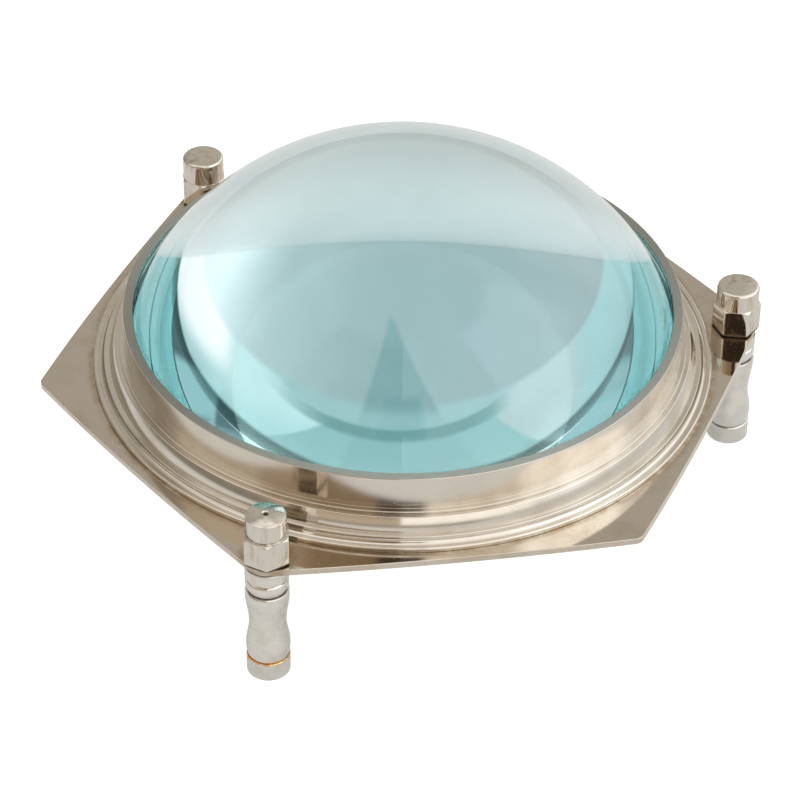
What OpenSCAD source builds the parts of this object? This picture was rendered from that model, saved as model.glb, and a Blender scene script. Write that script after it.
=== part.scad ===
// Low vision magnifier: a solid glass dome in a stepped metal ring, on a six-sided
// plate that stands on three turned legs. Millimetres, +Z up. The origin is on the
// lens axis, at the level of the surface that the feet stand on.

/* [Lens] */
// Diameter of the glass
lens_d = 127.4; // [110:0.2:140]
// Thickness of the glass from its flat underside to the top of the dome
lens_t = 50.8; // [44:0.2:54]
// Radius of the domed face
dome_r = 72.6; // [70:0.1:80]
// Bevel on the lower edge of the glass
lens_bevel = 0.6; // [0.2:0.1:1.5]

/* [Ring] */
// Running clearance between the glass and the ring, on the radius
lens_clearance = 0.1; // [0.05:0.01:0.1]
// Wall of the upper ring
bezel_wall = 2.3; // [1.6:0.1:4]
// Height of the ring above the plate
bezel_h = 15; // [12:0.5:18]
// Height of the stepped base ring above the plate
moulding_h = 5.95; // [5:0.05:7]
// Outer diameter of the stepped base ring
moulding_d = 147.2; // [144:0.2:150]
// Thickness of the seat ring under the glass
seat_t = 0.8; // [0.4:0.1:2]
// Width of the seat ring
seat_w = 4.6; // [3:0.1:6]

/* [Plate] */
// Distance across opposite corners of the plate
plate_ac = 173.2; // [165:0.1:180]
// Outward bulge of each side of the plate
side_bulge = 1.13; // [0.4:0.01:2]
// Thickness of the plate
plate_t = 1.6; // [1:0.1:3]
// Corner radius at the three legs
leg_corner_r = 5; // [3:0.5:7]
// Corner radius between the legs
free_corner_r = 2.6; // [1:0.1:5]
// Diameter of the opening under the glass
opening_d = 116; // [90:1:117]

/* [Legs] */
// Height of the plate's top above the surface it stands on
plate_top = 32.65; // [28:0.05:40]
// Distance from the lens axis to each leg
leg_circle_r = 81.2; // [80:0.1:84]
// Diameter of the threaded stud in each leg
stud_d = 5; // [4:0.5:5.5]
// Running clearance on each stud, on the radius
stud_clearance = 0.05; // [0.03:0.01:0.1]
// Diameter of the bar that the leg pieces are turned from
bar_d = 10; // [9:0.1:11]
// Diameter of each leg at its waist
waist_d = 8.5; // [8:0.1:9]

/* [Cap nuts] */
// Width of the hexagon across its flats
hex_af = 10; // [9.5:0.1:11]
// Height of the hexagon
hex_h = 7.2; // [6:0.1:8]
// Overall height of cap nut 1, which has the centre mark
cap_h_1 = 12.7; // [12:0.1:14]
// Overall height of cap nut 2
cap_h_2 = 12.2; // [12:0.1:14]
// Overall height of cap nut 3
cap_h_3 = 13; // [12:0.1:14]
// Diameter of the round top of a cap nut
cap_d = 10.2; // [9:0.1:10.5]
// Diameter of the round top of the cap nut with the centre mark
marked_cap_d = 9.2; // [8.5:0.1:10]

/* [Hidden] */
$fn = 96;

nickel = [0.76, 0.72, 0.65];
satin_nickel = [0.70, 0.67, 0.61];
brass = [0.80, 0.60, 0.32];
rubber = [0.12, 0.13, 0.13];
glass = [0.55, 0.82, 0.82, 0.6];

// Angles of the legs about the lens axis: one in front, two behind
LEG_ANGLES = [270, 30, 150];

// Heights above the standing surface
plate_bottom = plate_top - plate_t;
lip_z = plate_top + bezel_h;
lens_bottom = plate_top + seat_t;
lens_r = lens_d / 2;
bore_r = lens_r + lens_clearance;
bezel_r = bore_r + bezel_wall;
dome_centre_z = lens_bottom + lens_t - dome_r;

// Small flange on the upper ring that rests on the base ring
flange_w = 1.3;
flange_h = 0.65;
flange_bottom = plate_top + moulding_h;
lip_round = 0.35;

// Steps of the base ring, from its outer bead inward
bead_h = 1.1;
bead_w = 1.3;
groove_depth = 0.3;
groove_w = 0.16;
cove_inner_r = moulding_d / 2 - 2.5;
step_z = 2.45;
step_w = 1.35;
band_top_r = bezel_r + 2.4;
band_bottom_r = cove_inner_r - step_w;

// The plate's outline
corner_r = plate_ac / 2;
side_mid_r = corner_r * cos(30) + side_bulge;
half_side = corner_r / 2;
side_arc_r = (half_side * half_side + side_bulge * side_bulge) / (2 * side_bulge);
side_arc_shift = side_arc_r - side_mid_r;

// Heights of the leg pieces, measured down from the plate's underside
turned_gap = 0.1;
collar_h = 3.3;
bead_ring_h = 3.2;
leg_groove_h = 0.45;
leg_h = 19;
joint_gap = 0.15;
collar_bottom = plate_bottom - collar_h;
bead_top = collar_bottom - turned_gap;
bead_bottom = bead_top - bead_ring_h;
leg_top = bead_bottom - leg_groove_h;
leg_bottom = leg_top - leg_h;
tip_top = leg_bottom - joint_gap;

stud_r = stud_d / 2;
stud_hole_r = stud_r + stud_clearance;
stud_bottom = 1.6;
stud_top = plate_top + 10.2;
stud_bevel = 0.5;
hole_end_gap = 0.3;
groove_neck_r = bar_d / 2 - 0.55;

// Bar ends
bar_r = bar_d / 2;
edge_r = 0.35;
nut_gap = 0.15;
bead_edge_r = 1.1;
CAP_H = [cap_h_1, cap_h_2, cap_h_3];
cap_edge_r = 0.8;
cap_dome_h = 0.2;
cone_h = 0.6;
mark_r = 0.55;
mark_depth = 1.6;
hex_bevel = 0.45;
// Turn of each hexagon on its stud
HEX_TURN = [24, 45, 22];

// Radii of the turned leg, and how far down each lies as a fraction of its height
flare_r = bar_r + 0.05;
flare_u = 0.04;
waist_r = waist_d / 2;
waist_u = 0.507;
swell_r = bar_r + 0.04;
swell_u = 0.845;

// An arc of points about a centre [x, y], from angle a0 to a1
function arc(c, r, a0, a1, steps) =
    [for (i = [0:steps]) c + r * [cos(a0 + (a1 - a0) * i / steps), sin(a0 + (a1 - a0) * i / steps)]];

// Radius of the turned leg at a fraction u of its height from the top
function leg_r(u) =
    u < flare_u ? flare_r - 0.3 * pow(1 - u / flare_u, 2)
    : u < waist_u ? waist_r + (flare_r - waist_r) * pow(cos(90 * (u - flare_u) / (waist_u - flare_u)), 2)
    : u < swell_u ? waist_r + (swell_r - waist_r) * pow(sin(90 * (u - waist_u) / (swell_u - waist_u)), 2)
    : swell_r - 0.35 * pow((u - swell_u) / (1 - swell_u), 2);

// Puts a leg piece on its axis
module at_leg(n) {
    rotate(LEG_ANGLES[n - 1])
        translate([leg_circle_r, 0, 0])
            children();
}

// A short turned ring around a stud with rounded rims
module turned_ring(r, z0, z1) {
    h = z1 - z0;
    translate([0, 0, z0])
        rotate_extrude()
            polygon(concat(
                [[stud_hole_r, 0]],
                arc([r - edge_r, edge_r], edge_r, -90, 0, 6),
                arc([r - edge_r, h - edge_r], edge_r, 0, 90, 6),
                [[stud_hole_r, h]]
            ));
}

// Six-sided outline whose sides bow outward, with rounded corners
module plate_outline() {
    difference() {
        intersection_for(k = [0:5])
            rotate(60 * k)
                translate([-side_arc_shift, 0])
                    circle(r = side_arc_r, $fn = 360);
        for (k = [0:5])
            rotate(30 + 60 * k)
                corner_cut(k % 2 == 0 ? leg_corner_r : free_corner_r);
    }
}

// What is cut from a corner, beyond where a rounding of radius r meets the two sides
module corner_cut(r) {
    lean = asin(half_side / side_arc_r);
    centre = corner_r - r / cos(30 - lean);
    difference() {
        translate([centre + r * cos(30 - lean), -r])
            square([r, 2 * r]);
        translate([centre, 0])
            circle(r = r, $fn = 64);
    }
}

module base_plate() {
    color(nickel)
        difference() {
            translate([0, 0, plate_bottom])
                linear_extrude(plate_t)
                    plate_outline();
            translate([0, 0, plate_bottom - 1])
                cylinder(d = opening_d, h = plate_t + 2);
            for (n = [1:3])
                at_leg(n)
                    translate([0, 0, plate_bottom - 1])
                        cylinder(r = stud_hole_r, h = plate_t + 2);
        }
}

// Stepped base ring: an outer bead, a cove, a ledge and a steep band
module moulding_ring() {
    outer_r = moulding_d / 2;
    bead_in = outer_r - bead_w;
    cove_r = cove_inner_r - bead_in;
    cove_h = step_z - bead_h + groove_depth;
    color(nickel)
        translate([0, 0, plate_top])
            rotate_extrude($fn = 180)
                polygon(concat(
                    [[bezel_r, 0], [outer_r, 0]],
                    arc([outer_r - 0.4, bead_h - 0.4], 0.4, 0, 90, 8),
                    arc([bead_in + 0.2, bead_h - 0.2], 0.2, 90, 180, 4),
                    [[bead_in, bead_h - groove_depth], [bead_in - groove_w, bead_h - groove_depth]],
                    [for (i = [1:8]) let (a = 90 * i / 8)
                        [bead_in - groove_w + (cove_r + groove_w) * sin(a),
                            bead_h - groove_depth + cove_h * (1 - cos(a))]],
                    [[band_bottom_r, step_z]],
                    [for (i = [1:10]) let (u = i / 10)
                        [band_bottom_r + (band_top_r - band_bottom_r) * pow(u, 1.6),
                            step_z + (moulding_h - 0.1 - step_z) * u]],
                    [[band_top_r - 0.2, moulding_h], [bezel_r, moulding_h]]
                ));
}

// Upper ring that the glass drops into
module bezel_ring() {
    color(nickel)
        rotate_extrude($fn = 180)
            polygon(concat(
                [[bore_r, plate_top], [bezel_r, plate_top], [bezel_r, flange_bottom]],
                [[bezel_r + flange_w, flange_bottom]],
                arc([bezel_r + flange_w - 0.25, flange_bottom + flange_h - 0.25], 0.25, 0, 90, 5),
                [[bezel_r, flange_bottom + flange_h]],
                arc([bezel_r - lip_round, lip_z - lip_round], lip_round, 0, 90, 6),
                arc([bore_r + lip_round, lip_z - lip_round], lip_round, 90, 180, 6)
            ));
}

module lens_seat_ring() {
    outer_r = bore_r - 0.2;
    color(rubber)
        translate([0, 0, plate_top])
            rotate_extrude($fn = 180)
                translate([outer_r - seat_w, 0])
                    square([seat_w, seat_t]);
}

// Solid glass: a flat underside, a straight edge and a domed top
module dome_lens() {
    color(glass)
        intersection() {
            translate([0, 0, dome_centre_z])
                sphere(r = dome_r, $fn = 180);
            translate([0, 0, lens_bottom])
                rotate_extrude($fn = 180)
                    polygon([
                        [0, 0],
                        [lens_r - lens_bevel, 0],
                        [lens_r, lens_bevel],
                        [lens_r, lens_t + 1],
                        [0, lens_t + 1]
                    ]);
        }
}

// Threaded rod that ties one leg together
module stud(n) {
    color(brass)
        at_leg(n)
            rotate_extrude()
                polygon([
                    [0, stud_bottom],
                    [stud_r - stud_bevel, stud_bottom],
                    [stud_r, stud_bottom + stud_bevel],
                    [stud_r, stud_top - stud_bevel],
                    [stud_r - stud_bevel, stud_top],
                    [0, stud_top]
                ]);
}

module collar(n) {
    color(nickel)
        at_leg(n)
            turned_ring(bar_r, collar_bottom, plate_bottom);
}

// Polished band between the collar and the leg, with the turned grooves either side
module bead_ring(n) {
    neck = [[stud_hole_r, leg_top], [groove_neck_r, leg_top]];
    r = bar_r - 0.05;
    turn = acos(1 - (r - groove_neck_r) / bead_edge_r);
    color(nickel)
        at_leg(n)
            rotate_extrude()
                polygon(concat(
                    neck,
                    [[groove_neck_r, bead_bottom]],
                    arc([r - bead_edge_r, bead_bottom + bead_edge_r], bead_edge_r, -turn, 0, 8),
                    arc([r - bead_edge_r, bead_top - bead_edge_r], bead_edge_r, 0, turn, 8),
                    [[groove_neck_r, bead_top], [groove_neck_r, collar_bottom]],
                    [[stud_hole_r, collar_bottom]]
                ));
}

// Turned leg with a flare, a waist and a swelling
module leg(n) {
    steps = 28;
    color(satin_nickel)
        at_leg(n)
            rotate_extrude()
                polygon(concat(
                    [[stud_hole_r, leg_top]],
                    [for (i = [0:steps]) let (u = i / steps) [leg_r(u), leg_top - leg_h * u]],
                    [[stud_hole_r, leg_bottom]]
                ));
}

// Foot that screws onto the lower end of the stud
module foot_tip(n) {
    color(satin_nickel)
        at_leg(n)
            rotate_extrude()
                polygon(concat(
                    [[0, 0]],
                    arc([bar_r - edge_r, edge_r], edge_r, -90, 0, 6),
                    arc([bar_r - edge_r, tip_top - edge_r], edge_r, 0, 90, 6),
                    [[stud_hole_r, tip_top], [stud_hole_r, stud_bottom - hole_end_gap]],
                    [[0, stud_bottom - hole_end_gap]]
                ));
}

// Hexagonal nut with a round top that closes the upper end of the stud
module cap_nut(n) {
    marked = n == 1;
    top_r = (marked ? marked_cap_d : cap_d) / 2;
    top_z = CAP_H[n - 1];
    hex_r = hex_af / 2 / cos(30);
    color(nickel)
        at_leg(n)
            translate([0, 0, plate_top + nut_gap])
                difference() {
                    union() {
                        intersection() {
                            rotate(HEX_TURN[n - 1])
                                cylinder(r = hex_r, h = hex_h, $fn = 6);
                            // Turned bevels that take the corners off both ends of the hexagon
                            rotate_extrude()
                                polygon([
                                    [0, 0],
                                    [hex_r - hex_bevel, 0],
                                    [hex_r, hex_bevel * 0.6],
                                    [hex_r, hex_h - hex_bevel],
                                    [hex_r - hex_bevel * 1.4, hex_h],
                                    [0, hex_h]
                                ]);
                        }
                        rotate_extrude()
                            polygon(marked ? marked_top(top_r, top_z) : flat_top(top_r, top_z));
                    }
                    translate([0, 0, -1])
                        cylinder(r = stud_hole_r, h = 1 + stud_top - plate_top - nut_gap + hole_end_gap);
                }
}

// Outline of a nearly flat top with a rounded edge
function flat_top(r, z) =
    concat(
        [[0, 0], [r, 0]],
        arc([r - cap_edge_r, z - cap_dome_h - cap_edge_r], cap_edge_r, 0, 85, 8),
        [for (i = [1:6]) let (u = 1 - i / 6) [(r - cap_edge_r) * u, z - cap_dome_h * u * u]]
    );

// Outline of a conical top with a drilled centre mark in it
function marked_top(r, z) =
    [
        [0, 0], [r, 0], [r, z - cone_h - 0.1], [r - 0.1, z - cone_h],
        [mark_r, z], [mark_r, z - mark_depth], [0, z - mark_depth]
    ];

base_plate();
moulding_ring();
bezel_ring();
lens_seat_ring();
dome_lens();
stud(1);  // stud_1
stud(2);  // stud_2
stud(3);  // stud_3
collar(1);  // collar_1
collar(2);  // collar_2
collar(3);  // collar_3
bead_ring(1);  // bead_ring_1
bead_ring(2);  // bead_ring_2
bead_ring(3);  // bead_ring_3
leg(1);  // leg_1
leg(2);  // leg_2
leg(3);  // leg_3
foot_tip(1);  // foot_tip_1
foot_tip(2);  // foot_tip_2
foot_tip(3);  // foot_tip_3
cap_nut(1);  // cap_nut_1
cap_nut(2);  // cap_nut_2
cap_nut(3);  // cap_nut_3
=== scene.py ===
"""Dome magnifier: polished nickel stand and a solid tinted glass dome.

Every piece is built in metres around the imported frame. Lengths below are in millimetres
until mm() turns them into metres.
"""

import math

import bmesh
import bpy
from mathutils import Matrix, Quaternion, Vector


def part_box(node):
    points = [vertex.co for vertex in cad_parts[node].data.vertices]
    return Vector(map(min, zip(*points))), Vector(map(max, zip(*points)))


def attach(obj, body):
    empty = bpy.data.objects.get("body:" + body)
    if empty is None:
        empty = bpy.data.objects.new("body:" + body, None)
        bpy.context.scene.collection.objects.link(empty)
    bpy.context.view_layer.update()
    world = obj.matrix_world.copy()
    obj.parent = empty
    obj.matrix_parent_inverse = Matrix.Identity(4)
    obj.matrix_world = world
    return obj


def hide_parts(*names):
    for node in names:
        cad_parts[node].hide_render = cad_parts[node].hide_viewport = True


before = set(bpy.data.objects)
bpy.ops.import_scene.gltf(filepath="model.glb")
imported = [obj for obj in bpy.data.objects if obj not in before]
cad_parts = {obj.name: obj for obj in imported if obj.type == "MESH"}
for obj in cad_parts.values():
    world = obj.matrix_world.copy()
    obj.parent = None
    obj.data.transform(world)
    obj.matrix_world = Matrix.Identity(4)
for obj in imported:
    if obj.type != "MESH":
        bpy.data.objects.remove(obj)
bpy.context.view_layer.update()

LEGS = (1, 2, 3)


def mm(value):
    return value * 0.001


# ---------------------------------------------------------------- places, from the frame

PLATE_LOW, PLATE_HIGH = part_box("base_plate")
MOULDING_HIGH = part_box("moulding_ring")[1]
BEZEL_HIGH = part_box("bezel_ring")[1]
SEAT_LOW, SEAT_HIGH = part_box("lens_seat_ring")
LENS_LOW, LENS_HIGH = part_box("dome_lens")

plate_top = PLATE_HIGH.z
plate_bottom = PLATE_LOW.z
moulding_r = MOULDING_HIGH.x
moulding_top = MOULDING_HIGH.z
flange_r = BEZEL_HIGH.x
lip_z = BEZEL_HIGH.z
lens_r = LENS_HIGH.x
lens_bottom = LENS_LOW.z
lens_top = LENS_HIGH.z
LENS_GAP = mm(0.1)
BEZEL_WALL = mm(2.3)
bore_r = lens_r + LENS_GAP
bezel_r = bore_r + BEZEL_WALL


def leg_axis(n):
    low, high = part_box(f"collar_{n}")
    return (low.x + high.x) / 2, (low.y + high.y) / 2


# ---------------------------------------------------------------- camera

# Direction and distance of the camera from the middle of the plate's top
CAMERA_AZIMUTH = math.radians(21.5)
CAMERA_ELEVATION = math.radians(37.263)
CAMERA_DISTANCE = 0.837
LOOK_AZIMUTH = math.radians(21.546)
LOOK_ELEVATION = math.radians(38.041)
CAMERA_ROLL = math.radians(0.525)
CAMERA_LENS = 157.7


def from_sky(azimuth, elevation):
    """The unit vector toward a place overhead. Azimuth 0 is above leg 1, and it grows to the right
    as seen from there."""
    flat = math.cos(elevation)
    return Vector((math.sin(azimuth) * flat, -math.cos(azimuth) * flat, math.sin(elevation)))


def add_camera():
    data = bpy.data.cameras.new("camera")
    data.lens = CAMERA_LENS
    data.clip_start = 0.01
    camera = bpy.data.objects.new("camera", data)
    bpy.context.collection.objects.link(camera)
    middle = Vector((0, 0, plate_top))
    camera.location = middle + CAMERA_DISTANCE * from_sky(CAMERA_AZIMUTH, CAMERA_ELEVATION)
    back = from_sky(LOOK_AZIMUTH, LOOK_ELEVATION)
    look = back.to_track_quat("Z", "Y") @ Quaternion((0, 0, 1), CAMERA_ROLL)
    camera.rotation_euler = look.to_euler()
    bpy.context.scene.camera = camera


# ---------------------------------------------------------------- shader helpers

# How far the edge of each dark band wanders, and over what width it fades out: dirt in the joints, and
# the painted shadow at the foot of each cap nut
SEAM_RAGGED = mm(0.2)
SEAM_FADE = mm(0.14)


class Shader:
    """A node tree with short calls for the nodes that the materials here use."""

    def __init__(self, tree):
        self.tree = tree
        tree.nodes.clear()

    def node(self, kind, **settings):
        made = self.tree.nodes.new(kind)
        for name, value in settings.items():
            setattr(made, name, value)
        return made

    def link(self, source, target):
        self.tree.links.new(source, target)

    def set(self, socket, value):
        if isinstance(value, bpy.types.NodeSocket):
            self.link(value, socket)
        else:
            socket.default_value = value

    def math(self, operation, a, b=0.0):
        made = self.node("ShaderNodeMath", operation=operation)
        self.set(made.inputs[0], a)
        self.set(made.inputs[1], b)
        return made.outputs[0]

    def ramp(self, value, stops):
        """A smooth grey ramp between two (position, grey) stops."""
        made = self.node("ShaderNodeMapRange", clamp=True, interpolation_type="SMOOTHSTEP")
        (low, grey_low), (high, grey_high) = stops
        made.inputs["From Min"].default_value = low
        made.inputs["From Max"].default_value = high
        made.inputs["To Min"].default_value = grey_low
        made.inputs["To Max"].default_value = grey_high
        self.set(made.inputs["Value"], value)
        return made.outputs["Result"]

    def patches(self, place, scale, bare, full, most):
        """0 where noise of this scale is below bare, and up to most where it is above full."""
        return self.ramp(self.noise(place, scale), ((bare, 0.0), (full, most)))

    def mix(self, factor, a, b):
        made = self.node("ShaderNodeMix", data_type="RGBA")
        self.set(made.inputs["Factor"], factor)
        self.set(made.inputs["A"], a)
        self.set(made.inputs["B"], b)
        return made.outputs["Result"]

    def noise(self, vector, scale, detail=2.0, roughness=0.5):
        made = self.node("ShaderNodeTexNoise")
        self.set(made.inputs["Vector"], vector)
        made.inputs["Scale"].default_value = scale
        made.inputs["Detail"].default_value = detail
        made.inputs["Roughness"].default_value = roughness
        return made.outputs["Fac"]

    def spots(self, vector, scale, size):
        """1 inside small round spots, 0 between them."""
        made = self.node("ShaderNodeTexVoronoi")
        self.set(made.inputs["Vector"], vector)
        made.inputs["Scale"].default_value = scale
        return self.ramp(made.outputs["Distance"], ((size * 0.4, 1.0), (size, 0.0)))

    def place(self):
        return self.node("ShaderNodeTexCoord").outputs["Object"]

    def around(self, centre=(0.0, 0.0)):
        """Distance from the vertical axis through centre, and height, as a vector."""
        split = self.node("ShaderNodeSeparateXYZ")
        self.link(self.place(), split.inputs[0])
        dx = self.math("SUBTRACT", split.outputs["X"], centre[0])
        dy = self.math("SUBTRACT", split.outputs["Y"], centre[1])
        squares = self.math("ADD", self.math("MULTIPLY", dx, dx), self.math("MULTIPLY", dy, dy))
        radius = self.math("SQRT", squares)
        joined = self.node("ShaderNodeCombineXYZ")
        self.link(radius, joined.inputs["X"])
        self.link(split.outputs["Z"], joined.inputs["Z"])
        return joined.outputs[0]

    def height(self):
        split = self.node("ShaderNodeSeparateXYZ")
        self.link(self.place(), split.inputs[0])
        return split.outputs["Z"]

    def reach(self, centre=(0.0, 0.0)):
        """Distance from the vertical axis through centre."""
        split = self.node("ShaderNodeSeparateXYZ")
        self.link(self.around(centre), split.inputs[0])
        return split.outputs["X"]

    def stretched(self, along):
        """The object's coordinates, with heights multiplied by along."""
        made = self.node("ShaderNodeVectorMath", operation="MULTIPLY")
        self.link(self.place(), made.inputs[0])
        made.inputs[1].default_value = (1.0, 1.0, along)
        return made.outputs[0]

    def seams(self, bands, vector):
        """Dark bands: 1 on each (height, half width) band, broken up by noise. They are dirt in the
        joints, and at the foot of each cap nut a painted shadow.
        """
        ragged = self.math("MULTIPLY", self.noise(vector, 900, 3, 0.7), SEAM_RAGGED)
        total = 0.0
        for height, half in bands:
            off = self.math("ABSOLUTE", self.math("SUBTRACT", self.height(), height))
            band = self.ramp(self.math("ADD", off, ragged), ((half, 1.0), (half + SEAM_FADE, 0.0)))
            total = self.math("MAXIMUM", total, band)
        return total

    def bump(self, height, depth, normal=None):
        """Bump of a real depth in metres."""
        made = self.node("ShaderNodeBump")
        made.inputs["Strength"].default_value = 1.0
        made.inputs["Distance"].default_value = depth
        self.link(height, made.inputs["Height"])
        if normal is not None:
            self.link(normal, made.inputs["Normal"])
        return made.outputs["Normal"]


def new_material(name):
    material = bpy.data.materials.new(name)
    material.use_nodes = True
    return material, Shader(material.node_tree)


def principled(shader):
    surface = shader.node("ShaderNodeBsdfPrincipled")
    output = shader.node("ShaderNodeOutputMaterial")
    shader.link(surface.outputs[0], output.inputs["Surface"])
    return surface, output


# ---------------------------------------------------------------- materials

NICKEL = (0.68, 0.635, 0.565, 1)
NICKEL_DULL = (0.50, 0.435, 0.35, 1)
LIP_NICKEL = (0.38, 0.385, 0.35, 1)
PLATE_NICKEL = (0.61, 0.55, 0.47, 1)
LEG_NICKEL = (0.74, 0.72, 0.67, 1)
LEG_DULL = (0.55, 0.52, 0.46, 1)
# Brown of the plate's stains and dull patches, also painted as shade round the foot of the ring and the
# nuts
PLATE_STAIN_AND_SHADE = (0.43, 0.34, 0.24, 1)
NUT_STAIN = (0.42, 0.33, 0.23, 1)
BRASS = (0.80, 0.46, 0.17, 1)
BRASS_DULL = (0.55, 0.30, 0.11, 1)
# Dark brown of dirt in the joints, also used for the painted shadow at the foot of each cap nut and the
# painted shade in nut 1's drilled mark
DIRT_AND_SHADE = (0.055, 0.038, 0.024, 1)
RUBBER_DARK = (0.012, 0.013, 0.013, 1)
RUBBER_PALE = (0.035, 0.036, 0.036, 1)
GLASS_TINT = (0.10, 0.78, 0.84, 1)
GLASS_DENSITY = 5.8
GLASS_IOR = 1.53
GROUND_GLASS = (0.80, 0.90, 0.89, 1)
BLACK = (0.0, 0.0, 0.0, 1)
WHITE = (1.0, 1.0, 1.0, 1)
# Depths of the bumps, in metres: pits, slow waves and dents in the polish, and marks of the lathe
PIT_DEPTH = 6e-6
NUT_PIT_DEPTH = 7e-6
LEG_PIT_DEPTH = 9e-6
RING_WAVE_DEPTH = 2.2e-6
PLATE_WAVE_DEPTH = 1.6e-6
NUT_DENT_DEPTH = 3.5e-6
RING_TURNING_DEPTH = 0.8e-6
NUT_TURNING_DEPTH = 0.35e-6
LEG_TURNING_DEPTH = 0.9e-6
BAND_TURNING_DEPTH = 0.4e-6
RUBBER_GRAIN_DEPTH = 14e-6
THREAD_PITCH = mm(0.8)
THREAD_DEPTH = mm(0.1)
# What the dirt, and the painted shade on the cap nuts, takes from the metallic weight and adds to the
# roughness
DARKENING_DULLS = 0.8
DARKENING_ROUGHENS = 0.45
# The turned rings smear what they reflect across the lathe's marks
RING_SMEAR = 0.85
RING_SMEAR_TURN = 0.25


def metal(s, surface, colour, roughness, darkening):
    """Bare plating, darkened where darkening is 1: dirt, and on the cap nuts painted shade too."""
    s.link(s.mix(darkening, colour, DIRT_AND_SHADE), surface.inputs["Base Color"])
    metallic = s.math("SUBTRACT", 1.0, s.math("MULTIPLY", darkening, DARKENING_DULLS))
    s.link(metallic, surface.inputs["Metallic"])
    rough = s.math("ADD", roughness, s.math("MULTIPLY", darkening, DARKENING_ROUGHENS))
    s.link(rough, surface.inputs["Roughness"])


# Height and half width of the dirty joint of the rings and the plate
RING_SEAMS = ((plate_top, mm(0.06)),)
# How far under the top of the lip its dull finish begins, and how far under it is full
LIP_FADE = (mm(0.14), mm(0.03))


def ring_material():
    """Mirror nickel of the two rings: faint polishing lines, stains, pits, a duller lip, and dirt
    where they meet the plate."""
    material, s = new_material("ring_nickel")
    surface, _ = principled(s)
    place = s.place()
    cloud = s.noise(place, 60, 4, 0.6)
    pit = s.math("MULTIPLY", s.spots(place, 900, 0.16), s.patches(place, 140, 0.52, 0.66, 0.6))
    dull = s.math("MAXIMUM", pit, s.ramp(cloud, ((0.45, 0.0), (0.75, 0.5))))
    lip = s.ramp(s.height(), ((lip_z - LIP_FADE[0], 0.0), (lip_z - LIP_FADE[1], 1.0)))
    darkening = s.seams(RING_SEAMS, place)
    rough = s.math("ADD", s.math("MULTIPLY", cloud, 0.08), 0.085)
    rough = s.math("ADD", rough, s.math("MULTIPLY", s.math("MAXIMUM", pit, lip), 0.3))
    colour = s.mix(lip, s.mix(dull, NICKEL, NICKEL_DULL), LIP_NICKEL)
    metal(s, surface, colour, rough, darkening)
    surface.inputs["Anisotropic"].default_value = RING_SMEAR
    surface.inputs["Anisotropic Rotation"].default_value = RING_SMEAR_TURN
    turning = s.bump(s.noise(s.around(), 5200, 3, 0.7), RING_TURNING_DEPTH)
    wave = s.bump(s.noise(place, 38, 1), RING_WAVE_DEPTH, turning)
    s.link(s.bump(s.math("MULTIPLY", pit, -1.0), PIT_DEPTH, wave), surface.inputs["Normal"])
    return material


# Distances from the base ring's edge, and from the legs' axes, where the plate's brown painted
# shade round the foot of the ring and the nuts starts to fade and ends
RING_FOOT_SHADE = (mm(0.15), mm(2.2))
NUT_FOOT_SHADE = (mm(5.6), mm(7.6))


def plate_material():
    """Flat nickel plate: rubbed in the open, browner and rougher round the ring and the nuts, where the
    brown is painted shade.
    """
    material, s = new_material("plate_nickel")
    surface, _ = principled(s)
    place = s.place()
    cloud = s.noise(place, 70, 5, 0.62)
    pit = s.math("MULTIPLY", s.spots(place, 800, 0.18), s.patches(place, 120, 0.50, 0.64, 0.7))
    # Painted shade: the plate is browner and rougher round the foot of the ring and of each nut, broken
    # up by noise
    near = s.ramp(s.reach(), ((moulding_r + RING_FOOT_SHADE[0], 1.0), (moulding_r + RING_FOOT_SHADE[1], 0.0)))
    for n in LEGS:
        foot = s.ramp(s.reach(leg_axis(n)), ((NUT_FOOT_SHADE[0], 1.0), (NUT_FOOT_SHADE[1], 0.0)))
        near = s.math("MAXIMUM", near, foot)
    near = s.math("MULTIPLY", near, s.ramp(s.noise(place, 320, 4, 0.65), ((0.35, 0.25), (0.6, 1.0))))
    dull = s.math("MAXIMUM", pit, s.ramp(cloud, ((0.42, 0.0), (0.74, 0.5))))
    dull = s.math("MAXIMUM", dull, near)
    rough = s.math("ADD", s.math("MULTIPLY", cloud, 0.05), 0.04)
    rough = s.math("ADD", rough, s.math("MULTIPLY", s.math("MAXIMUM", pit, near), 0.18))
    metal(s, surface, s.mix(dull, PLATE_NICKEL, PLATE_STAIN_AND_SHADE), rough, s.math("MULTIPLY", pit, 0.35))
    wave = s.bump(s.noise(place, 30, 1), PLATE_WAVE_DEPTH)
    s.link(s.bump(s.math("MULTIPLY", pit, -1.0), PIT_DEPTH, wave), surface.inputs["Normal"])
    return material


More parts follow.
